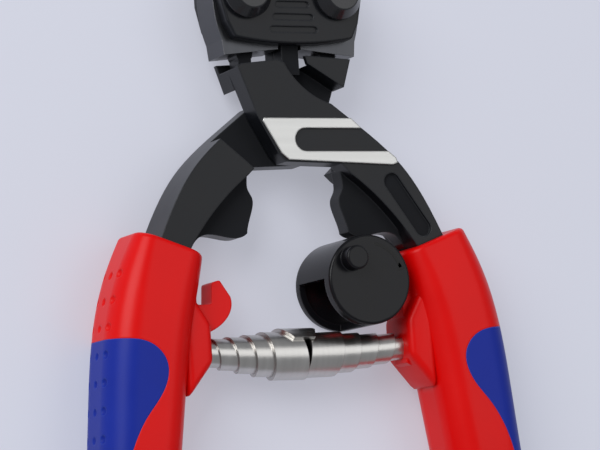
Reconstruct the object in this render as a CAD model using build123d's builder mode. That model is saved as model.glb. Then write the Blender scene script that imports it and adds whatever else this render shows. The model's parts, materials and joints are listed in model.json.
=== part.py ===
from build123d import *
import math
import os

# Compact lever-action bolt cutters, 200 mm long when closed, drawn with the handles open.
# The tool lies on its back: +X to the right, +Y towards the jaws, +Z out of the front.
# Outlines are drawn from the handle pivot, on planes through it, in millimetres.
# Everything right of the middle is drawn once and mirrored, or turned over for the lapped levers.

# ---- overall sizes -------------------------------------------------------------------------
handle_closing = 13.0        # degrees that each handle turns from open to closed
jaw_reach = 25.0             # jaw bolt to jaw tip
handle_drop = 164.0          # handle pivot to the end of the grips, open
bolt_spacing = 24.8          # between the two jaw bolts
bolt_rise = 3.6              # jaw bolts above the handle pivot

# ---- thicknesses ---------------------------------------------------------------------------
jaw_thickness = 9.4
strap_thickness = 3.2
lever_thickness = 12.6
web_thickness = 5.0          # the gripping blocks below the lap joint
tang_thickness = 6.0
grip_thickness = 20.0
hook_thickness = 6.4

# ---- fits ----------------------------------------------------------------------------------
running = 0.05               # radial clearance of a pin in a moving piece
sliding = 0.15               # between plates that slide on each other
nose_play = 0.2              # round the lever nose in the jaw's socket
moulding = 0.1               # between a tang and the grip moulded round it

# ---- pins, bolts and the pivot --------------------------------------------------------------
bolt_radius = 4.0
bolt_head_radius = 6.3
bolt_face_radius = 4.3
bolt_head_height = 4.0
nut_radius = 6.2
nut_height = 1.6
pivot_radius = 2.5
pivot_eye_radius = 4.5
pivot_seat_depth = 2.2
nose_radius = 2.2
nose_thickness = 5.2
nose_x = -11.5               # the nose that drives a jaw, from the handle pivot
nose_y = -10.5

# ---- lock and spring ------------------------------------------------------------------------
drum_x = 15.0
drum_y = -68.0
drum_radius = 11.2
drum_wall = 1.7
drum_top = 10.3              # front of the drum, above the middle plane
drum_bottom = -8.2
drum_floor = 1.6
drum_rear_ring = 1.4
mouth_start = 176.0          # the drum's mouth for the hook, in degrees round its wall
mouth_end = 268.0
heel_start = -60.0           # the drum's opening for the arm that carries it
heel_end = 30.0
nub_radius = 3.0
nub_height = 3.6
nub_offset = 7.0
spindle_radius = 1.6
spindle_head_radius = 2.9
spindle_head = 1.0
hub_radius = 3.4
arm_thickness = 6.4
cap_thickness = 1.6
washer_thickness = 0.5
spring_y = -84.0
spring_half_length = 27.3
spring_end_radius = 3.0
spring_mid_radius = 6.25
spring_strip = 0.6
stub_radius = 2.1
stub_length = 3.5

# ---- values worked out from the sizes above --------------------------------------------------
bolt_x = bolt_spacing / 2
mid_height = grip_thickness / 2


def turned(x, y, degrees):
    angle = math.radians(degrees)
    return (x * math.cos(angle) - y * math.sin(angle), x * math.sin(angle) + y * math.cos(angle))


def bearing_from_bolt(point):
    return math.degrees(math.atan2(point[1] - bolt_rise, point[0] + bolt_x))


# The nose slides in a socket that points at the jaw's bolt, so its travel sets the jaw's turn.
nose_closed = turned(nose_x, nose_y, -handle_closing)
jaw_opening = bearing_from_bolt((nose_x, nose_y)) - bearing_from_bolt(nose_closed)


def opened(x, y):
    """A point of the right jaw, given from its bolt with the jaws shut, where it is when open."""
    dx, dy = turned(x, y, -jaw_opening)
    return (bolt_x + dx, bolt_rise + dy)


tip_rise = opened(-bolt_x, jaw_reach)[1]
pivot_y = (handle_drop - tip_rise) / 2


def front(z):
    return Plane((0, pivot_y, mid_height + z))


def back(z):
    return Plane((0, pivot_y, mid_height - z), x_dir=(-1, 0, 0), z_dir=(0, 0, -1))


def finish(piece, name):
    piece.part.label = name
    export_step(piece.part, f"parts/{name}.step")


os.makedirs("parts", exist_ok=True)

# ---- straps: two plates that carry the jaw bolts and the handle pivot -------------------------
strap_bottom = jaw_thickness / 2 + sliding
strap_half_width = 19.5
strap_top = 13.0
strap_waist = -3.4
strap_low_x = 16.2
strap_low_y = -7.3
strap_sag = -8.8
groove_height = 1.6


def make_strap(level, grooved):
    with BuildPart() as strap:
        with BuildSketch(level(strap_bottom)) as outline:
            with BuildLine():
                side = Polyline((strap_low_x, strap_low_y), (strap_half_width - 1.4, strap_waist),
                                (strap_half_width, 3.0), (strap_half_width, 7.5),
                                (bolt_x + 3.5, strap_top), (0, strap_top))
                mirror(side, about=Plane.YZ)
                ThreePointArc((-strap_low_x, strap_low_y), (0, strap_sag),
                              (strap_low_x, strap_low_y))
            make_face()
            fillet(outline.vertices().filter_by(lambda v: abs(v.X) > 1), 1.2)
        extrude(amount=strap_thickness)
        fillet(strap.faces().sort_by(Axis.Z)[-1 if grooved else 0].edges(), 0.6)
        with BuildSketch(level(strap_bottom)):
            with Locations((-bolt_x, bolt_rise), (bolt_x, bolt_rise)):
                Circle(bolt_radius + running)
        extrude(amount=strap_thickness, mode=Mode.SUBTRACT)
        with BuildSketch(level(strap_bottom)):
            Circle(pivot_radius)
        extrude(amount=pivot_seat_depth, mode=Mode.SUBTRACT)
        if grooved:
            with BuildSketch(level(strap_bottom + strap_thickness)):
                for row, length in enumerate((13.0, 11.1, 9.2)):
                    with Locations((0, -5.2 + 3.15 * row)):
                        SlotOverall(length, groove_height)
            extrude(amount=-0.6, mode=Mode.SUBTRACT)
    return strap


strap_front = make_strap(front, True)
finish(strap_front, "strap_front")
strap_rear = make_strap(back, False)
finish(strap_rear, "strap_rear")

# ---- jaw bolts, their nuts, and the handle pivot pin ------------------------------------------
strap_face = strap_bottom + strap_thickness

for name, x in (("left", -bolt_x), ("right", bolt_x)):
    with BuildPart() as jaw_bolt:
        with BuildSketch(front(-strap_face - nut_height + 0.2)):
            with Locations((x, bolt_rise)):
                Circle(bolt_radius)
        extrude(amount=2 * strap_face + nut_height - 0.2)
        with BuildSketch(front(strap_face)):
            with Locations((x, bolt_rise)):
                Circle(bolt_head_radius)
        extrude(amount=1.2)
        with BuildSketch(front(strap_face + 1.2)):
            with Locations((x, bolt_rise)):
                Circle(bolt_head_radius)
        with BuildSketch(front(strap_face + bolt_head_height)):
            with Locations((x, bolt_rise)):
                Circle(bolt_face_radius)
        loft()
        fillet(jaw_bolt.faces().sort_by(Axis.Z)[-1].edges(), 0.5)
    finish(jaw_bolt, f"jaw_bolt_{name}")

    with BuildPart() as jaw_nut:
        with BuildSketch(back(strap_face)):
            with Locations((-x, bolt_rise)):
                Circle(nut_radius)
                Circle(bolt_radius + running, mode=Mode.SUBTRACT)
                with PolarLocations(5.1, 2, start_angle=45):
                    Circle(0.55, mode=Mode.SUBTRACT)
        extrude(amount=nut_height)
        rim = jaw_nut.faces().sort_by(Axis.Z)[0].edges().sort_by(SortBy.RADIUS)[-1]
        chamfer(rim, 0.5)
    finish(jaw_nut, f"jaw_nut_{name}")

with BuildPart() as handle_pivot_pin:
    pin_half = strap_bottom + pivot_seat_depth - moulding
    with BuildSketch(front(-pin_half)):
        Circle(pivot_radius - moulding / 5)
    extrude(amount=2 * pin_half)
    chamfer(handle_pivot_pin.edges().filter_by(GeomType.CIRCLE), 0.3)
finish(handle_pivot_pin, "handle_pivot_pin")

# ---- jaws -------------------------------------------------------------------------------------
shut_gap = 0.1
tail_low = -11.2
tail_inner_x = 3.1
relief_radius = pivot_eye_radius + 1.6
bevel_reach = 3.8
bevel_start = 6.5
edge_land = 0.5
socket_width = 2 * (nose_radius + nose_play)
socket_end = math.dist(nose_closed, (-bolt_x, bolt_rise)) - nose_play

with BuildPart() as jaw_right:
    with BuildSketch(front(-jaw_thickness / 2)) as outline:
        with BuildLine():
            Polyline(opened(-bolt_x + shut_gap, jaw_reach), opened(-bolt_x + shut_gap, 2.5),
                     (tail_inner_x, -3.0), (tail_inner_x, tail_low + 1.6),
                     (17.9, tail_low), (18.3, -7.4))
            Spline((18.3, -7.4), (20.0, 1.0), (19.2, 10.0), opened(-bolt_x + 5.0, jaw_reach - 3.5),
                   opened(-bolt_x + 1.6, jaw_reach))
            Line(opened(-bolt_x + 1.6, jaw_reach), opened(-bolt_x + shut_gap, jaw_reach))
        make_face()
    extrude(amount=jaw_thickness)
    # the cutting edge: a bevel from both faces down to a narrow land at the middle plane
    edge_foot = opened(-bolt_x + shut_gap, bevel_start)
    along = turned(0, 1, -jaw_opening)
    edge_plane = Plane((edge_foot[0], pivot_y + edge_foot[1], mid_height),
                       x_dir=(along[1], -along[0], 0), z_dir=(*along, 0))
    with BuildSketch(edge_plane):
        for side in (-1, 1):
            with BuildLine():
                Polyline((-1, side * edge_land), (0, side * edge_land),
                         (bevel_reach, side * jaw_thickness / 2), (bevel_reach, side * jaw_thickness),
                         (-1, side * jaw_thickness), close=True)
            make_face()
    extrude(amount=jaw_reach, mode=Mode.SUBTRACT)
    # room for the levers' eyes, both open and shut
    with BuildSketch(front(-jaw_thickness / 2)):
        with Locations((0, 0), opened(-bolt_x, -bolt_rise)):
            Circle(relief_radius)
    extrude(amount=jaw_thickness, mode=Mode.SUBTRACT)
    with BuildSketch(front(-jaw_thickness / 2)):
        with Locations((bolt_x, bolt_rise)):
            Circle(bolt_radius + running)
    extrude(amount=jaw_thickness, mode=Mode.SUBTRACT)
    # the socket that the lever's nose works in, cut in the middle of the tail
    socket_angle = -90 - (bearing_from_bolt((nose_x, nose_y)) + 90)
    socket_plane = Plane((bolt_x, pivot_y + bolt_rise, mid_height - nose_thickness / 2 - sliding),
                         x_dir=(*turned(1, 0, socket_angle), 0), z_dir=(0, 0, 1))
    with BuildSketch(socket_plane):
        with Locations((socket_end + 10, 0)):
            SlotOverall(20 + socket_width, socket_width)
    extrude(amount=nose_thickness + 2 * sliding, mode=Mode.SUBTRACT)
finish(jaw_right, "jaw_right")

with BuildPart() as jaw_left:
    mirror(jaw_right.part, about=Plane.YZ)
finish(jaw_left, "jaw_left")


# ---- levers: one forging, made twice and turned over, so that they lap on each other ----------
lap_level = sliding / 2
lever_face = lever_thickness / 2
lip_level = jaw_thickness / 2 + sliding
block_edge = ((12.9, -38.0), (13.1, -42.0), (13.0, -44.4), (12.0, -46.4), (12.4, -50.0), (13.9, -55.2))
tang_width = 8.0
tang_end = 14.0              # the tang stops this far short of the grip's end
slot_depth = 0.8
plate_height = 0.7           # the polished plate on the front lever


def arm_outline(clearance=0.0):
    with BuildSketch() as arm:
        with BuildLine():
            upper = Spline((9.7 + clearance, -23.5), (18.0 + clearance, -29.8), (28.5 + clearance, -39.3),
                           (36.2 + clearance, -51.6), (42.6 + clearance, -66.0 - clearance))
            lower = Spline((35.2 - clearance, -66.5 - clearance), (29.5 - clearance, -57.0),
                           (22.8 - clearance, -48.8), (14.3 - clearance, -41.3))
            Line(upper @ 1, lower @ 0)
            Polyline(lower @ 1, (11.5, -38.6), upper @ 0)
        make_face()
    return arm.sketch


def tang_outline(width):
    course = [(37.5, -60.0), (43.6, -84.0), (46.4, -108.0), (50.6, tang_end - handle_drop)]
    with BuildSketch() as tang:
        with BuildLine():
            inner = Spline(*[(x - width / 2, y) for x, y in course])
            outer = Spline(*[(x + width / 2, y) for x, y in course])
            Line(inner @ 0, outer @ 0)
            Line(inner @ 1, outer @ 1)
        make_face()
    return tang.sketch


def make_lever(level):
    with BuildPart() as lever:
        # the half that laps over the other lever, with the head on one side and the arm on the other
        with BuildSketch(level(lap_level)) as lapped:
            with BuildLine():
                Polyline((9.7, -23.5), (14.0, -30.0), (14.0, -38.6), (-3.8, -38.0), (-5.7, -36.0),
                         (-10.7, -26.8), (-15.3, -14.2), (-14.2, -13.6), (-4.4, -12.5), (-2.5, -13.2))
                ThreePointArc((-2.5, -13.2), (1.3, -18.5), (9.7, -23.5))
            make_face()
            add(arm_outline())
        extrude(amount=lever_face - lap_level)
        # the other half of the arm, ending in a ramp that clears the other lever's lap
        with BuildSketch(level(-lever_face)):
            add(arm_outline())
            with BuildLine():
                Polyline((21.2, -32.3), (14.9, -37.6), (10.0, -42.0), (0.0, -30.0), (9.0, -20.0), close=True)
            make_face(mode=Mode.SUBTRACT)
        extrude(amount=lever_face + lap_level)
        # the other half of the head
        with BuildSketch(level(-lever_face)):
            with BuildLine():
                Polyline((-3.4, -11.4), (-15.9, -12.2), (-13.6, -19.3), (-4.0, -13.4), close=True)
            make_face()
        extrude(amount=lever_face + lap_level)
        # room between the lips for the jaw's tail, then the nose that drives it
        with BuildSketch(level(-lip_level)):
            with BuildLine():
                Polyline((-20.0, -15.0), (-9.5, -13.6), (-1.0, -13.6), (-1.0, -5.6), (-20.0, -5.6),
                         close=True)
            make_face()
        extrude(amount=2 * lip_level, mode=Mode.SUBTRACT)
        with BuildSketch(level(-nose_thickness / 2)):
            with Locations((nose_x, nose_y)):
                Circle(nose_radius)
                Rectangle(1.6 * nose_radius, 5.0, align=(Align.CENTER, Align.MAX))
        extrude(amount=nose_thickness)
        # the neck and the eye on the pivot pin
        with BuildSketch(level(lap_level)):
            with Locations((0, -8)):
                Rectangle(4.6, 16)
            Circle(pivot_eye_radius)
        extrude(amount=strap_bottom - sliding - lap_level)
        with BuildSketch(level(lap_level)):
            Circle(pivot_radius + running)
        extrude(amount=lever_face, mode=Mode.SUBTRACT)
        # the gripping block and its grooves
        with BuildSketch(level(-web_thickness / 2)):
            with BuildLine():
                Spline(*block_edge)
                Spline(block_edge[-1], (15.4, -56.1), (22.0, -55.6), (29.5, -59.5))
                Polyline((29.5, -59.5), (24.0, -44.0), block_edge[0])
            make_face()
        extrude(amount=web_thickness)
        # the tang inside the grip
        with BuildSketch(level(-tang_thickness / 2)):
            add(tang_outline(tang_width))
        extrude(amount=tang_thickness)
        # a blank label recess along the arm
        with BuildSketch(Plane(level(lever_face).from_local_coords(Vector(29.2, -49.0, 0)),
                               x_dir=level(0).x_dir, z_dir=level(0).z_dir)):
            SlotOverall(18.5, 4.4, rotation=-56)
        extrude(amount=-slot_depth, mode=Mode.SUBTRACT)
    return lever


lever_left = make_lever(back)
finish(lever_left, "lever_left")

# the front lever also has the polished plate across the lap, with an open-ended blank field
lever_front = make_lever(front)
with BuildPart() as lever_right:
    add(lever_front.part)
    with BuildSketch(front(lever_face)) as plate:
        with BuildLine():
            Polyline((-9.4, -27.2), (14.6, -27.2), (17.0, -29.4), (26.6, -37.2), (26.9, -38.4),
                     (25.6, -38.9), (-3.2, -37.6), (-5.2, -35.9), (-9.7, -28.0), close=True)
        make_face()
        with Locations((-1.2, -32.6)):
            SlotOverall(60, 5.8, align=(Align.MIN, Align.CENTER), mode=Mode.SUBTRACT)
    extrude(amount=plate_height)
finish(lever_right, "lever_right")

# ---- grips: lofted bodies over the tangs, each with a softer panel let into its outer side ----
panel_depth = 2.2
dimple_pitch = 6.7
dimple_radius = 1.3
dimple_depth = 0.5
flat_trim = 0.4              # taken off the back of each grip's middle, which leaves it flat to rest on
lower_span = handle_drop - 107.0

# inner edge, outer edge, thickness and corner radius of each section, from the mouth down
stations = [
    ((27.6, -60.8), (44.6, -54.6), grip_thickness - 2.4, 4.5),
    ((28.6, -66.5), (48.6, -62.4), grip_thickness - 0.8, 6.0),
    ((31.0, -77.0), (52.9, -75.5), grip_thickness + flat_trim, 7.0),
    ((33.4, -90.0), (55.2, -91.0), grip_thickness + flat_trim, 7.0),
    ((35.9, -107.0), (56.8, -108.0), grip_thickness + flat_trim, 7.0),
    ((38.6, -107.0 - 0.33 * lower_span), (58.9, -108.0 - 0.34 * lower_span), grip_thickness - 0.6, 7.0),
    ((41.2, -107.0 - 0.66 * lower_span), (60.2, -107.0 - 0.68 * lower_span), grip_thickness - 1.4, 6.5),
    ((43.6, -handle_drop), (59.6, -handle_drop), grip_thickness - 3.2, 6.0),
]


def section_plane(inner, outer):
    middle = ((inner[0] + outer[0]) / 2, pivot_y + (inner[1] + outer[1]) / 2, mid_height)
    across = Vector(outer[0] - inner[0], outer[1] - inner[1], 0)
    return Plane(middle, x_dir=across, z_dir=across.cross(Vector(0, 0, 1)))


def grip_form(inset):
    with BuildPart() as form:
        for inner, outer, thickness, corner in stations:
            width = math.dist(inner, outer)
            with BuildSketch(section_plane(inner, outer)):
                RectangleRounded(width - 2 * inset, thickness - 2 * inset, corner - inset)
        loft()
    return form


with BuildPart() as panel_prism:
    with BuildSketch(front(-grip_thickness)):
        with BuildLine():
            Spline((57.0, -80.0), (50.0, -80.6), (44.0, -82.2), (40.6, -86.6), (42.0, -93.4),
                   (46.6, -99.4), (50.6, -106.6), (53.4, -117.0))
            Spline((53.4, -117.0), (55.2, -107 - 0.5 * lower_span), (56.4, -107 - 0.75 * lower_span),
                   (64.0, -107 - 0.85 * lower_span))
            Polyline((64.0, -107 - 0.85 * lower_span), (70.0, -100.0), (57.0, -80.0))
        make_face()
    extrude(amount=2 * grip_thickness)

with BuildLine() as outer_side:
    outer_line = Spline(*[outer for inner, outer, thickness, corner in stations])

grip_solid = grip_form(0)
grip_core = grip_form(panel_depth)
rows = int((handle_drop - 80) / dimple_pitch)

with BuildPart() as dimpled:
    add(grip_solid.part)
    fillet(dimpled.faces().sort_by(Axis.Y)[0].edges(), 3.5)
    fillet(dimpled.faces().sort_by(Axis.Y)[-1].edges(), 1.2)
    split(bisect_by=Plane.XY, keep=Keep.TOP)
    for row in range(rows):
        spot = outer_line @ ((11 + row * dimple_pitch) / outer_line.length)
        away = dimple_radius - dimple_depth
        for z in (-5.0, 0.0, 5.0):
            lean = 0.35 if z else 0.0
            with Locations((spot.X + away - lean, pivot_y + spot.Y, mid_height + z)):
                Sphere(dimple_radius, mode=Mode.SUBTRACT)

with BuildPart() as pocket:
    with BuildSketch(front(-tang_thickness / 2 - moulding)):
        add(tang_outline(tang_width + 2 * moulding))
    extrude(amount=tang_thickness + 2 * moulding)
    with BuildSketch(front(-lever_face - moulding)):
        add(arm_outline(moulding))
    extrude(amount=lever_thickness + 2 * moulding)

with BuildPart() as panel_cutter:
    add(panel_prism.part)
    add(grip_core.part, mode=Mode.SUBTRACT)

with BuildPart() as soft_panel_right:
    add(dimpled.part)
    add(panel_cutter.part, mode=Mode.INTERSECT)
finish(soft_panel_right, "soft_panel_right")

with BuildPart() as soft_panel_left:
    mirror(soft_panel_right.part, about=Plane.YZ)
finish(soft_panel_left, "soft_panel_left")

# the seat that each grip has for the spring, with a stub inside the spring's end
seat_radius = 4.4
with BuildPart() as grip_blank:
    add(dimpled.part)
    add(panel_cutter.part, mode=Mode.SUBTRACT)
    seat_plane = Plane((spring_half_length, pivot_y + spring_y, mid_height),
                       x_dir=(0, 1, 0), z_dir=(1, 0, 0))
    with BuildSketch(seat_plane):
        Circle(seat_radius)
    extrude(amount=9)
    with BuildSketch(seat_plane):
        Circle(stub_radius)
    extrude(amount=-stub_length)

with BuildPart() as grip_right:
    add(grip_blank.part)
    # the arm that carries the lock drum, running into the spring seat
    with BuildSketch(front(-arm_thickness / 2)):
        with BuildLine():
            Polyline((drum_x, drum_y + hub_radius), (drum_x + 9, drum_y + 4.3), (drum_x + 12, drum_y + 4.5),
                     (31.0, -60.8), (34.0, -62.0), (37.0, -88.0), (36.0, -94.6))
            Spline((36.0, -94.6), (31.5, -90.8), (spring_half_length, spring_y - seat_radius))
            Polyline((spring_half_length, spring_y - seat_radius),
                     (spring_half_length, spring_y + seat_radius),
                     (drum_x + 12.4, drum_y - 6.5), (drum_x + 12, drum_y - 4.3),
                     (drum_x + 9, drum_y - 4.3), (drum_x, drum_y - hub_radius),
                     (drum_x, drum_y + hub_radius))
        make_face()
        with Locations((drum_x, drum_y)):
            Circle(hub_radius)
    extrude(amount=arm_thickness)
    with BuildSketch(front(-arm_thickness / 2)):
        with Locations((drum_x, drum_y)):
            Circle(spindle_radius + running)
    extrude(amount=arm_thickness, mode=Mode.SUBTRACT)
    add(pocket.part, mode=Mode.SUBTRACT)
finish(grip_right, "grip_right")

with BuildPart() as grip_left:
    mirror(grip_blank.part, about=Plane.YZ)
    # the web with the hook: its prong goes into the drum, and the drum's wall into its notch
    with BuildSketch(front(-hook_thickness / 2)) as hook:
        with BuildLine():
            Polyline((-34.0, -64.0), (-29.0, -64.0), (-29.0, -72.5), (-25.0, -72.5), (-24.6, -67.2),
                     (-22.6, -66.6), (-19.9, -70.8))
            Spline((-19.9, -70.8), (-20.0, -73.9), (-22.7, -77.4),
                   (-spring_half_length, spring_y + seat_radius))
            Polyline((-spring_half_length, spring_y + seat_radius),
                     (-spring_half_length, spring_y - seat_radius), (-34.0, -93.0), (-34.0, -64.0))
        make_face()
        fillet(hook.vertices().filter_by(lambda v: v.X > -30 and v.Y > -73), 0.7)
    extrude(amount=hook_thickness)
    mirror(pocket.part, about=Plane.YZ, mode=Mode.SUBTRACT)
finish(grip_left, "grip_left")


# ---- the lock: a drum on the right grip's arm that catches the left grip's hook ----------------
def drum_sector(start, end, radius):
    """A wedge of the drum between two bearings, in degrees."""
    with BuildSketch() as wedge:
        with BuildLine():
            first = turned(radius, 0, start)
            middle = turned(radius, 0, (start + end) / 2)
            last = turned(radius, 0, end)
            ThreePointArc(first, middle, last)
            Polyline(last, (0, 0), first)
        make_face()
    return wedge.sketch


def at_drum(z):
    return Plane((drum_x, pivot_y + drum_y, mid_height + z))


with BuildPart() as lock_drum:
    with BuildSketch(at_drum(drum_bottom)):
        Circle(drum_radius)
    extrude(amount=drum_top - drum_bottom)
    fillet(lock_drum.faces().sort_by(Axis.Z)[-1].edges(), 0.7)
    with BuildSketch(at_drum(drum_bottom)):
        Circle(drum_radius - drum_wall)
    extrude(amount=drum_top - drum_floor - drum_bottom, mode=Mode.SUBTRACT)
    with BuildSketch(at_drum(drum_bottom + drum_rear_ring)):
        add(drum_sector(mouth_start, mouth_end, 2 * drum_radius))
    extrude(amount=drum_top - drum_bottom - drum_rear_ring - 1.8 * drum_floor, mode=Mode.SUBTRACT)
    with BuildSketch(at_drum(drum_bottom)):
        add(drum_sector(heel_start, heel_end, 2 * drum_radius))
    extrude(amount=arm_thickness / 2 + 1.0 - drum_bottom, mode=Mode.SUBTRACT)
    with BuildSketch(at_drum(arm_thickness / 2 + washer_thickness + sliding)):
        Circle(hub_radius)
    extrude(until=Until.NEXT)
    with BuildSketch(at_drum(drum_bottom)):
        Circle(spindle_radius + running)
    extrude(amount=drum_top - 2 * drum_floor - drum_bottom, mode=Mode.SUBTRACT)
    with BuildSketch(at_drum(drum_top)):
        with Locations(turned(nub_offset, 0, 132)):
            Circle(nub_radius)
    extrude(amount=nub_height)
    fillet(lock_drum.faces().sort_by(Axis.Z)[-1].edges(), 0.6)
finish(lock_drum, "lock_drum")

cap_level = drum_bottom - sliding / 3
with BuildPart() as lock_rear_cap:
    with BuildSketch(at_drum(cap_level - cap_thickness)):
        Circle(drum_radius - 0.3)
        Circle(spindle_radius + running, mode=Mode.SUBTRACT)
    extrude(amount=cap_thickness)
    chamfer(lock_rear_cap.edges().group_by(Axis.Z)[0].sort_by(SortBy.RADIUS)[-1], 0.5)
    with BuildSketch(at_drum(cap_level - cap_thickness)):
        Circle(spindle_head_radius + sliding)
    extrude(amount=spindle_head, mode=Mode.SUBTRACT)
finish(lock_rear_cap, "lock_rear_cap")

with BuildPart() as lock_spindle:
    with BuildSketch(at_drum(cap_level - cap_thickness + 0.1)):
        Circle(spindle_head_radius)
    extrude(amount=spindle_head - 0.15)
    with BuildSketch(at_drum(cap_level - cap_thickness + 0.1)):
        SlotOverall(4.2, 0.8)
    extrude(amount=0.5, mode=Mode.SUBTRACT)
    with BuildSketch(at_drum(cap_level - cap_thickness + 0.1 + spindle_head - 0.15)):
        Circle(spindle_radius)
    extrude(amount=drum_top - 2.2 * drum_floor - cap_level + cap_thickness - spindle_head)
finish(lock_spindle, "lock_spindle")

with BuildPart() as lock_wave_washer:
    with BuildSketch(at_drum(arm_thickness / 2 + sliding / 2)):
        Circle(hub_radius - 0.2)
        Circle(spindle_radius + sliding, mode=Mode.SUBTRACT)
    extrude(amount=washer_thickness)
finish(lock_wave_washer, "lock_wave_washer")

# ---- the opening spring: a strip wound into two cones, drawn as the shell that it fills --------
with BuildPart() as opening_spring:
    with BuildSketch(front(0)):
        with BuildLine():
            outside = Polyline((-spring_half_length + 0.1, spring_y + spring_end_radius),
                               (-5.0, spring_y + spring_mid_radius), (5.0, spring_y + spring_mid_radius),
                               (spring_half_length - 0.1, spring_y + spring_end_radius))
            inside = Polyline((-spring_half_length + 0.1, spring_y + spring_end_radius - spring_strip),
                              (-5.0, spring_y + spring_mid_radius - spring_strip),
                              (5.0, spring_y + spring_mid_radius - spring_strip),
                              (spring_half_length - 0.1, spring_y + spring_end_radius - spring_strip))
            Line(outside @ 0, inside @ 0)
            Line(outside @ 1, inside @ 1)
        make_face()
    revolve(axis=Axis((0, pivot_y + spring_y, mid_height), (1, 0, 0)))
finish(opening_spring, "opening_spring")
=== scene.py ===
# %% [markdown]
# # Bolt cutters, finished around a fixed frame
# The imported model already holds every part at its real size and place. This notebook gives each
# part its surface, and rebuilds the few pieces that need finer shapes than a working model has.
# Everything is in metres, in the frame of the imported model, with the tool lying on its back.

# %% Load the frame
import json
import math

import bmesh
import bpy
from mathutils import Matrix, Vector


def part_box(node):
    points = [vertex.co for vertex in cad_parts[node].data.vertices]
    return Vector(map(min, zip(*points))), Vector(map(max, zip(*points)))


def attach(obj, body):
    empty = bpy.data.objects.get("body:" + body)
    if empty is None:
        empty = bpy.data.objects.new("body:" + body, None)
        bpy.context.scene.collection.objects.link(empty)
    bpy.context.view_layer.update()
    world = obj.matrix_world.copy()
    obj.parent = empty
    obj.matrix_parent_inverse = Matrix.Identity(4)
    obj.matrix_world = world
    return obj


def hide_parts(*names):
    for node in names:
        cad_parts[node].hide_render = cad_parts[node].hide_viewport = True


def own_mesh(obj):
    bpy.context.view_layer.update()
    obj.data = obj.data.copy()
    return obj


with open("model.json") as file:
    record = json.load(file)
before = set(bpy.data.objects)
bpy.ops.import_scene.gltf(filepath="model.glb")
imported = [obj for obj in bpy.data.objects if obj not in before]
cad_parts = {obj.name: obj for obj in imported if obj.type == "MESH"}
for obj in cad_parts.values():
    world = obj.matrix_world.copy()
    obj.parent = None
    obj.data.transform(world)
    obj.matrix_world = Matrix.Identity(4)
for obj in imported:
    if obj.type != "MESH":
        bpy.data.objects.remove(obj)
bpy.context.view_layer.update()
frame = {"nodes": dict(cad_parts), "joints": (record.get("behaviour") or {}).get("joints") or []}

MM = 0.001
nodes = frame["nodes"]
joints = {joint["name"]: joint for joint in frame["joints"]}

# %% [markdown]
# ## Camera
# The camera looks at the front of the tool from its left and a little below. Its direction is
# built from three angles, which is easier to read than a rotation matrix: swing round the tool's
# long axis, drop below it, and tilt of the whole picture. A long lens keeps the outline flat.

# %% Set up the camera
swing = math.radians(26.4)
drop = math.radians(6.6)
tilt = math.radians(4.0)
camera_distance = 700 * MM
aim_below, aim_right, aim_down = 2 * MM, 5.2 * MM, 50.5 * MM
pivot = Vector(joints["handle_right"]["pos_m"])

across = Vector((math.cos(swing), 0, math.sin(swing)))
facing = Vector((-math.sin(swing), 0, math.cos(swing)))
upward = Vector((0, math.cos(drop), 0)) + math.sin(drop) * facing
toward = Vector((0, -math.sin(drop), 0)) + math.cos(drop) * facing
right = math.cos(tilt) * across - math.sin(tilt) * upward
up = math.sin(tilt) * across + math.cos(tilt) * upward

aim = pivot - Vector((0, aim_below, 0)) + aim_right * right - aim_down * up
camera = bpy.data.objects.new("camera", bpy.data.cameras.new("camera"))
camera.data.lens = 168
camera.matrix_world = Matrix((right, up, toward)).transposed().to_4x4()
camera.location = aim + camera_distance * toward
camera.data.clip_start = 0.01
bpy.context.scene.collection.objects.link(camera)
bpy.context.scene.camera = camera
print("camera at", camera.location[:])

# %% [markdown]
# ## Floor and light
# A product like this is shown on a plain pale ground with hardly a shadow, as on a light table: the
# floor glows a little, and its glow also lights the sides of the dark steel. Two big soft lamps
# give the highlights that show the shapes: a strong one high on the left, and a weaker one where
# the front faces mirror it to the camera. The standard view keeps strong reds and blues pure.

# %% Lay the floor
def place_mesh(name, made, smooth=False):
    """Puts finished mesh code into the scene as an object."""
    item = bpy.data.objects.new(name, bpy.data.meshes.new(name))
    made.to_mesh(item.data)
    made.free()
    for polygon in item.data.polygons:
        polygon.use_smooth = smooth
    bpy.context.scene.collection.objects.link(item)
    return item


floor_half = 3.0
floor_mesh = bmesh.new()
bmesh.ops.create_grid(floor_mesh, x_segments=1, y_segments=1, size=floor_half)
floor = place_mesh("floor", floor_mesh)
glow = bpy.data.materials.new("pale_floor")
glow.use_nodes = True
floor_shader = glow.node_tree.nodes["Principled BSDF"]
floor_shader.inputs["Base Color"].default_value = (0.36, 0.37, 0.42, 1)
floor_shader.inputs["Roughness"].default_value = 1.0
floor_shader.inputs["Emission Color"].default_value = (0.66, 0.675, 0.77, 1)
floor_shader.inputs["Emission Strength"].default_value = 0.50
floor.data.materials.append(glow)
print("floor", 2 * floor_half, "m wide")

# %% Light the scene
world = bpy.data.worlds.new("sky")
world.use_nodes = True
world.node_tree.nodes["Background"].inputs["Color"].default_value = (0.93, 0.95, 1.0, 1)
world.node_tree.nodes["Background"].inputs["Strength"].default_value = 0.35
bpy.context.scene.world = world
bpy.context.scene.view_settings.view_transform = "Standard"


def soft_lamp(name, place, size, power):
    lamp = bpy.data.objects.new(name, bpy.data.lights.new(name, "AREA"))
    lamp.data.shape = "RECTANGLE"
    lamp.data.size, lamp.data.size_y = size
    lamp.data.energy = power
    lamp.location = pivot + Vector(place)
    lamp.rotation_euler = (pivot - lamp.location).to_track_quat("-Z", "Y").to_euler()
    bpy.context.scene.collection.objects.link(lamp)


soft_lamp("key_lamp", (-0.90, 0.55, 0.90), (0.9, 0.9), 13.0)
soft_lamp("front_lamp", (0.56, 0.16, 1.05), (0.8, 0.7), 2.2)
print(len(bpy.data.lights), "lamps")

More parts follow.
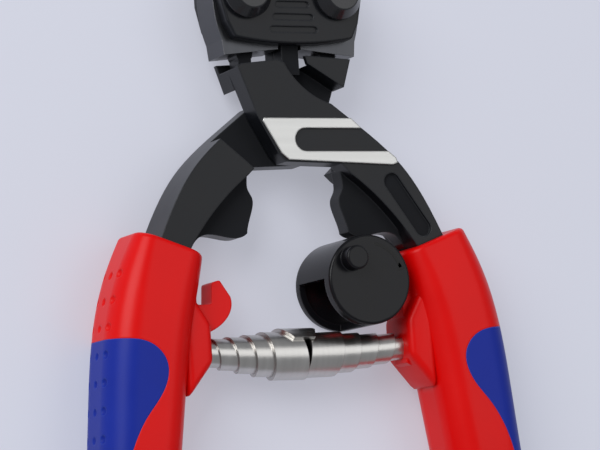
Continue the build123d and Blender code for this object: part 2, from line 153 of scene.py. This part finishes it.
# %% [markdown]
# ## Shared surface effects
# Every part here has a fine grain, and every hard edge on a real part is a little round. Both are
# built once as node groups and placed in each material with its own values. The rounded edge
# comes from a Bevel node, because the imported meshes have sharp edges that must stay as they are.
# Where the rounded normal leaves the true one there is an edge, which gives the mask for the edge
# colour: worn bare steel on the jaws, a painted highlight on the other black and moulded parts, and
# painted shade on the spring strip.

# %% Build the grain group
def new_group(name, inputs, outputs):
    group = bpy.data.node_groups.new(name, "ShaderNodeTree")
    for socket, kind, value in inputs:
        made = group.interface.new_socket(socket, in_out="INPUT", socket_type=kind)
        made.default_value = value
    for socket, kind in outputs:
        group.interface.new_socket(socket, in_out="OUTPUT", socket_type=kind)
    return group, group.nodes.new("NodeGroupInput"), group.nodes.new("NodeGroupOutput")


grain, grain_in, grain_out = new_group(
    "fine_grain",
    [("Vector", "NodeSocketVector", (0, 0, 0)), ("Scale", "NodeSocketFloat", 1000.0)],
    [("Height", "NodeSocketFloat"), ("Cloud", "NodeSocketFloat")])
fine = grain.nodes.new("ShaderNodeTexNoise")
fine.inputs["Detail"].default_value = 3
cloud = grain.nodes.new("ShaderNodeTexNoise")
cloud.inputs["Scale"].default_value = 90
cloud.inputs["Detail"].default_value = 4
grain.links.new(grain_in.outputs["Vector"], fine.inputs["Vector"])
grain.links.new(grain_in.outputs["Scale"], fine.inputs["Scale"])
grain.links.new(grain_in.outputs["Vector"], cloud.inputs["Vector"])
grain.links.new(fine.outputs["Fac"], grain_out.inputs["Height"])
grain.links.new(cloud.outputs["Fac"], grain_out.inputs["Cloud"])

# %% Build the rounded edge group
rounding, rounding_in, rounding_out = new_group(
    "rounded_edge",
    [("Radius", "NodeSocketFloat", 0.3 * MM)],
    [("Normal", "NodeSocketVector"), ("Edge", "NodeSocketFloat")])
bevel = rounding.nodes.new("ShaderNodeBevel")
bevel.samples = 6
true_normal = rounding.nodes.new("ShaderNodeNewGeometry")
agreement = rounding.nodes.new("ShaderNodeVectorMath")
agreement.operation = "DOT_PRODUCT"
edge_mask = rounding.nodes.new("ShaderNodeMapRange")
edge_mask.inputs["From Min"].default_value = 0.99
edge_mask.inputs["From Max"].default_value = 0.80
rounding.links.new(rounding_in.outputs["Radius"], bevel.inputs["Radius"])
rounding.links.new(bevel.outputs["Normal"], agreement.inputs[0])
rounding.links.new(true_normal.outputs["Normal"], agreement.inputs[1])
rounding.links.new(agreement.outputs["Value"], edge_mask.inputs["Value"])
rounding.links.new(bevel.outputs["Normal"], rounding_out.inputs["Normal"])
rounding.links.new(edge_mask.outputs["Result"], rounding_out.inputs["Edge"])

# %% [markdown]
# ## One recipe for a finish
# A finish has a base colour that drifts a little between two tones, an edge colour, a grain and a
# rounded edge. The edge colour is worn bare steel on the jaws, a painted highlight on the other
# black and moulded parts, and painted shade on the spring strip. The recipe wires the two groups to
# the shader. Values that are the same all over, such as metalness, are set on the shader itself.

# %% Define the recipe
# The colour sockets of a Mix node share their names with others, so they go by number.
MIX_FIRST, MIX_SECOND, MIX_RESULT = 6, 7, 2


def add_node(tree, kind, **values):
    node = tree.nodes.new(kind)
    for socket, value in values.items():
        node.inputs[socket.replace("_", " ")].default_value = value
    return node


def use_group(tree, group, **values):
    node = tree.nodes.new("ShaderNodeGroup")
    node.node_tree = group
    for socket, value in values.items():
        node.inputs[socket].default_value = value
    return node


def blend_colours(tree, share, first, second):
    """A colour mix whose three inputs are each a fixed value or another node's output."""
    mix = tree.nodes.new("ShaderNodeMix")
    mix.data_type = "RGBA"
    sockets = mix.inputs["Factor"], mix.inputs[MIX_FIRST], mix.inputs[MIX_SECOND]
    for socket, value in zip(sockets, (share, first, second)):
        if isinstance(value, bpy.types.NodeSocket):
            tree.links.new(value, socket)
        else:
            socket.default_value = (*value, 1) if isinstance(value, tuple) else value
    return mix.outputs[MIX_RESULT]


def make_finish(name, tones, edge_wear_and_painted_light, roughness, grain_scale, grain_depth, radius,
                stretch=(1, 1, 1), **shader_values):
    """tones and roughness are pairs, between which the surface drifts. grain_depth and radius are
    in millimetres."""
    material = bpy.data.materials.new(name)
    material.use_nodes = True
    tree = material.node_tree
    shader = tree.nodes["Principled BSDF"]
    for socket, value in shader_values.items():
        shader.inputs[socket.replace("_", " ")].default_value = value
    coordinates = tree.nodes.new("ShaderNodeTexCoord")
    mapping = add_node(tree, "ShaderNodeMapping", Scale=stretch)
    tree.links.new(coordinates.outputs["Object"], mapping.inputs["Vector"])
    surface = use_group(tree, grain, Scale=grain_scale)
    tree.links.new(mapping.outputs["Vector"], surface.inputs["Vector"])
    edge = use_group(tree, rounding, Radius=radius * MM)
    body_tone = blend_colours(tree, surface.outputs["Cloud"], *tones)
    # The edge colour is worn bare steel on the jaws, a painted highlight on most parts, and painted
    # shade on the spring.
    tone = blend_colours(tree, edge.outputs["Edge"], body_tone, edge_wear_and_painted_light)
    tree.links.new(tone, shader.inputs["Base Color"])
    gloss = add_node(tree, "ShaderNodeMapRange", To_Min=roughness[0], To_Max=roughness[1])
    tree.links.new(surface.outputs["Cloud"], gloss.inputs["Value"])
    tree.links.new(gloss.outputs["Result"], shader.inputs["Roughness"])
    relief = add_node(tree, "ShaderNodeBump", Strength=1.0, Distance=grain_depth * MM)
    tree.links.new(surface.outputs["Height"], relief.inputs["Height"])
    tree.links.new(edge.outputs["Normal"], relief.inputs["Normal"])
    tree.links.new(relief.outputs["Normal"], shader.inputs["Normal"])
    return material


def z_test(tree, source, operation, limit):
    """1 where the z of that vector passes the test, and 0 elsewhere."""
    split = tree.nodes.new("ShaderNodeSeparateXYZ")
    test = tree.nodes.new("ShaderNodeMath")
    test.operation = operation
    test.inputs[1].default_value = limit
    tree.links.new(source, split.inputs["Vector"])
    tree.links.new(split.outputs["Z"], test.inputs[0])
    return test.outputs["Value"]


def override(tree, socket, mask, masked_value):
    """Where the mask is 1 the shader's socket takes that value, and elsewhere what it had."""
    target = tree.nodes["Principled BSDF"].inputs[socket]
    value = add_node(tree, "ShaderNodeMapRange", To_Min=target.default_value, To_Max=masked_value)
    if target.is_linked:
        tree.links.new(target.links[0].from_socket, value.inputs["To Min"])
    tree.links.new(mask, value.inputs["Value"])
    tree.links.new(value.outputs["Result"], target)


def polish_above(material, level, tone, roughness, brush_scale=600, metalness=0.85):
    """Turns the finish into bare metal, brushed along X, above that height."""
    tree = material.node_tree
    colour = tree.nodes["Principled BSDF"].inputs["Base Color"]
    coordinates = tree.nodes.new("ShaderNodeTexCoord")
    mask = z_test(tree, coordinates.outputs["Object"], "GREATER_THAN", level)
    brushing = use_group(tree, grain, Scale=brush_scale)
    lay = add_node(tree, "ShaderNodeMapping", Scale=(0.04, 1, 1))
    tree.links.new(coordinates.outputs["Object"], lay.inputs["Vector"])
    tree.links.new(lay.outputs["Vector"], brushing.inputs["Vector"])
    darker = tuple(0.82 * part for part in tone)
    bare = blend_colours(tree, brushing.outputs["Height"], tone, darker)
    tree.links.new(blend_colours(tree, mask, colour.links[0].from_socket, bare), colour)
    override(tree, "Metallic", mask, metalness)
    override(tree, "Roughness", mask, roughness)


def dull_hollows(material, level, dull_roughness=0.80, facing=0.6):
    """Forged faces that look forwards but lie below that height keep a rougher, duller skin."""
    tree = material.node_tree
    coordinates = tree.nodes.new("ShaderNodeTexCoord")
    geometry = tree.nodes.new("ShaderNodeNewGeometry")
    both = tree.nodes.new("ShaderNodeMath")
    both.operation = "MULTIPLY"
    low = z_test(tree, coordinates.outputs["Object"], "LESS_THAN", level)
    forwards = z_test(tree, geometry.outputs["True Normal"], "GREATER_THAN", facing)
    tree.links.new(low, both.inputs[0])
    tree.links.new(forwards, both.inputs[1])
    override(tree, "Roughness", both.outputs["Value"], dull_roughness)


def dress(material, *names):
    for name in names:
        nodes[name].material_slots[0].material = material
    print(material.name, "on", ", ".join(names))


# %% [markdown]
# ## Black steel
# The levers and straps are forged and coated a satin black: dark, with a slight grain from the
# forging and softly shining edges, and duller where a face lies in a hollow. The jaws are the
# same steel with a finer, ground surface. The front lever also carries a raised plate, ground bare
# across the tool. It is the only part of that lever above the arms' faces, so a mask on height
# gives it its own finish. The bolts, the pin and the lock's small steel parts are smoother.

# %% Finish the steel parts
# The lighter edge colour in these values is a painted highlight along the edges of the black
# forging.
forged_values = (((0.004, 0.0045, 0.006), (0.009, 0.010, 0.013)), (0.035, 0.037, 0.042),
                 (0.26, 0.38), 1500, 0.010, 0.5)
forged_shine = 0.25
lever_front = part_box("lever_left")[1].z
hollow_level = lever_front - 0.4 * MM
plate_level = lever_front + 0.2 * MM
forged = make_finish("satin_black_forging", *forged_values, Specular_IOR_Level=forged_shine)
dull_hollows(forged, hollow_level)
dress(forged, "strap_front", "strap_rear", "lever_left")
plated = make_finish("black_forging_with_polished_plate", *forged_values,
                     Specular_IOR_Level=forged_shine)
dull_hollows(plated, hollow_level)
polish_above(plated, plate_level, (0.60, 0.60, 0.585), 0.33)
dress(plated, "lever_right")
ground = make_finish("ground_dark_steel", ((0.05, 0.052, 0.058), (0.09, 0.092, 0.10)),
                     (0.2, 0.2, 0.21), (0.25, 0.38), 900, 0.006, 0.2, (6, 1, 1), Metallic=0.9)
dress(ground, "jaw_left", "jaw_right")
# Its lighter edge colour is a painted highlight along the edges of the bolts, pin and small lock
# parts.
fastener = make_finish("dark_fastener_steel", ((0.006, 0.0065, 0.008), (0.012, 0.013, 0.016)),
                       (0.05, 0.052, 0.06), (0.18, 0.28), 1300, 0.006, 0.35)
dress(fastener, "jaw_bolt_left", "jaw_bolt_right", "jaw_nut_left", "jaw_nut_right",
      "handle_pivot_pin", "lock_spindle", "lock_wave_washer")

# %% [markdown]
# ## Moulded grips
# The grips are two plastics moulded onto each other: a harder red shell and a softer blue panel.
# Both are satin, with the very fine texture of a spark-eroded mould. The seam between them shows
# as a soft groove, which the rounded edge gives.

# %% Finish the grips
# The brighter red at the edges is a painted highlight.
shell = make_finish("moulded_red_shell", ((0.69, 0.001, 0.001), (0.77, 0.003, 0.002)),
                    (0.80, 0.015, 0.012), (0.30, 0.38), 2200, 0.005, 0.6, Specular_IOR_Level=0.18)
dress(shell, "grip_left", "grip_right")
# The lighter blue at the edges is a painted highlight.
panel = make_finish("moulded_blue_panel", ((0.004, 0.018, 0.27), (0.007, 0.026, 0.33)),
                    (0.02, 0.06, 0.42), (0.38, 0.48), 2200, 0.007, 0.6, Specular_IOR_Level=0.2)
dress(panel, "soft_panel_left", "soft_panel_right")

# %% [markdown]
# Round each spring seat the shell swells into a web that runs out along the grip. A polygon drawn
# in the plane of the tool and raised through most of the grip's thickness gives it. Its outer side
# is buried in the grip, and one wide bevel on every edge gives it the soft shape of a moulding.

# %% Mould the webs round the spring seats
spring_low, spring_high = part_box("opening_spring")
spring_middle = (spring_low + spring_high) / 2
spring_half = (spring_high.x - spring_low.x) / 2
web_outline = ((34, -67), (30.5, -71.5), (26.8, -77.5), (26.8, -86.8), (29.6, -90.2), (34, -95.5))
web_half = 6.8 * MM
web_softness = 1.7 * MM


def make_web(name, side, body):
    """The outline is in millimetres from the handles' pin, towards that side (-1 or +1)."""
    made = bmesh.new()
    base = made.faces.new([made.verts.new((pivot.x + side * x * MM, pivot.y + y * MM,
                                           spring_middle.z - web_half)) for x, y in web_outline])
    raised = bmesh.ops.extrude_face_region(made, geom=[base])["geom"]
    top = [item for item in raised if isinstance(item, bmesh.types.BMVert)]
    bmesh.ops.translate(made, verts=top, vec=(0, 0, 2 * web_half))
    bmesh.ops.recalc_face_normals(made, faces=made.faces)
    bmesh.ops.bevel(made, geom=made.edges[:], offset=web_softness, offset_type="OFFSET", segments=5,
                    profile=0.5, affect="EDGES", material=-1)
    bmesh.ops.recalc_face_normals(made, faces=made.faces)
    web = place_mesh(name, made, smooth=True)
    web.data.materials.append(shell)
    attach(web, body)
    print(name, "has", len(web.data.polygons), "faces")


make_web("spring_web_left", -1, "left_handle")
make_web("spring_web_right", 1, "right_handle")

# %% [markdown]
# ## Lock
# The drum is one smooth black moulding, turned by its raised nub.

# %% Finish the lock
# The lighter edge colour is a painted highlight along the edges of the drum and rear cap.
drum_plastic = make_finish("black_lock_plastic", ((0.004, 0.004, 0.005), (0.007, 0.007, 0.009)),
                           (0.02, 0.02, 0.024), (0.20, 0.28), 1600, 0.003, 0.4,
                           Specular_IOR_Level=0.2)
dress(drum_plastic, "lock_drum", "lock_rear_cap")

# %% [markdown]
# A curved arrow on the drum's face shows which way it turns. It is a thin sunk line on the real
# moulding. Here it is a thin strip spun from a short edge, with a three-sided head, laid on the
# face and given a deeper, glossier black: painted shade for the inside of the sunk line.

# %% Lay the arrow on the drum
drum_axis = Vector(joints["lock_turn"]["pos_m"])
nub_height = 3.6 * MM
face_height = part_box("lock_drum")[1].z - nub_height
arrow_radius = 9.1 * MM
arrow_width = 0.8 * MM
arrow_head_radius = 1.3 * MM
arrow_steps = 24
arrow_relief = 0.06 * MM
arrow_from, arrow_to = math.radians(18), math.radians(78)

arrow_mesh = bmesh.new()
ends = [arrow_mesh.verts.new((arrow_radius + side * arrow_width / 2, 0, 0)) for side in (-1, 1)]
arrow_mesh.edges.new(ends)
bmesh.ops.rotate(arrow_mesh, verts=ends, matrix=Matrix.Rotation(arrow_from, 3, "Z"))
bmesh.ops.spin(arrow_mesh, geom=arrow_mesh.verts[:] + arrow_mesh.edges[:], axis=(0, 0, 1),
               cent=(0, 0, 0), angle=arrow_to - arrow_from, steps=arrow_steps)
head = bmesh.ops.create_circle(arrow_mesh, cap_ends=True, segments=3,
                               radius=arrow_head_radius)["verts"]
bmesh.ops.translate(arrow_mesh, verts=head, vec=(arrow_radius, 0, 0))
bmesh.ops.rotate(arrow_mesh, verts=head, matrix=Matrix.Rotation(arrow_from, 3, "Z"))
bmesh.ops.recalc_face_normals(arrow_mesh, faces=arrow_mesh.faces)
bmesh.ops.solidify(arrow_mesh, geom=arrow_mesh.faces[:], thickness=arrow_relief)
bmesh.ops.translate(arrow_mesh, verts=arrow_mesh.verts,
                    vec=(drum_axis.x, drum_axis.y, face_height + arrow_relief / 2))
bmesh.ops.recalc_face_normals(arrow_mesh, faces=arrow_mesh.faces)
arrow = place_mesh("lock_turn_arrow", arrow_mesh)
# The arrow's near-black is painted shade of the sunk line, and its slightly lighter edge colour is
# a painted highlight.
arrow.data.materials.append(make_finish(
    "sunk_arrow_painted_shade", ((0.001, 0.001, 0.001), (0.002, 0.002, 0.002)), (0.01, 0.01, 0.011),
    (0.10, 0.15), 1600, 0.001, 0.05, Specular_IOR_Level=0.2))
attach(arrow, "lock")
print("arrow faces", len(arrow.data.polygons))

# %% [markdown]
# ## Opening spring
# The spring is two cones of flat stainless strip, wound so that each turn slides into the next
# wider one when the handles close. A screw modifier can't widen as it winds, so the strip's
# section is extruded step by step: each step is turned round the spring's axis, moved along it
# and made a little larger. The last steps narrow the strip, which rounds its free corner. The
# middle of a real spring of this kind hangs a little off its ends' line, so both cones are bowed.

# %% Wind the strip
strip_width = 9.0 * MM
strip_thickness = 0.5 * MM
end_radius = 2.7 * MM
bow = 1.3 * MM
steps_per_turn = 36
corner_steps, corner_narrowing = 3, 0.86


def wind_cone(name, side, turns, last_radius, last_place, start_angle):
    """One cone, from the seat on that side (-1 or +1) to last_place along the spring's axis."""
    steps = round(turns * steps_per_turn)
    first_place = spring_half - strip_width / 2
    growth = (last_radius / end_radius) ** (1 / steps)
    seat_steps = steps_per_turn // 2
    advance = (last_place - first_place) / (steps - seat_steps) * side
    made = bmesh.new()
    corners = [made.verts.new((side * first_place + x * strip_width / 2, 0, end_radius + z))
               for x, z in ((-1, 0), (1, 0), (1, strip_thickness), (-1, strip_thickness))]
    section = [made.edges.new((corners[i], corners[(i + 1) % 4])) for i in range(4)]
    made.faces.new(corners)
    bmesh.ops.rotate(made, verts=made.verts, matrix=Matrix.Rotation(start_angle, 3, "X"))
    turn = Matrix.Rotation(math.tau / steps_per_turn, 3, "X")
    for step in range(steps):
        result = bmesh.ops.extrude_edge_only(made, edges=section)["geom"]
        verts = [item for item in result if isinstance(item, bmesh.types.BMVert)]
        section = [item for item in result if isinstance(item, bmesh.types.BMEdge)
                   and all(vert in verts for vert in item.verts)]
        bmesh.ops.rotate(made, verts=verts, matrix=turn)
        bmesh.ops.scale(made, verts=verts, vec=(1, growth, growth))
        if step >= seat_steps:
            bmesh.ops.translate(made, verts=verts, vec=(advance, 0, 0))
        if step >= steps - corner_steps:
            centre = sum((vert.co.x for vert in verts), 0.0) / len(verts)
            bmesh.ops.scale(made, verts=verts, vec=(corner_narrowing, 1, 1),
                            space=Matrix.Translation((-centre, 0, 0)))
    bmesh.ops.contextual_create(made, geom=section)
    for vert in made.verts:
        vert.co.y -= bow * (1 - (vert.co.x / spring_half) ** 2)
    bmesh.ops.translate(made, verts=made.verts, vec=spring_middle)
    bmesh.ops.recalc_face_normals(made, faces=made.faces)
    return place_mesh(name, made, smooth=True)


cones = [wind_cone("spring_cone_left", -1, 5.1, 5.7 * MM, 1.5 * MM, 4.95),
         wind_cone("spring_cone_right", 1, 4.6, 5.0 * MM, 2.0 * MM, -0.63)]
print("strip pieces", [len(cone.data.polygons) for cone in cones])

# %% Finish the spring
# The near-black edge colour on the bright strip is painted shade: the dark lines where each turn
# tucks under the next.
stainless = make_finish("brushed_stainless_strip", ((0.45, 0.44, 0.42), (0.62, 0.61, 0.59)),
                        (0.05, 0.05, 0.05), (0.24, 0.36), 700, 0.004, 0.15, (8, 1, 1), Metallic=1.0)
for cone in cones:
    cone.data.materials.append(stainless)
    cone.modifiers.new("crisp_edges", "EDGE_SPLIT").split_angle = math.radians(40)
    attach(cone, "spring")
    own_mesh(cone)
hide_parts("opening_spring")
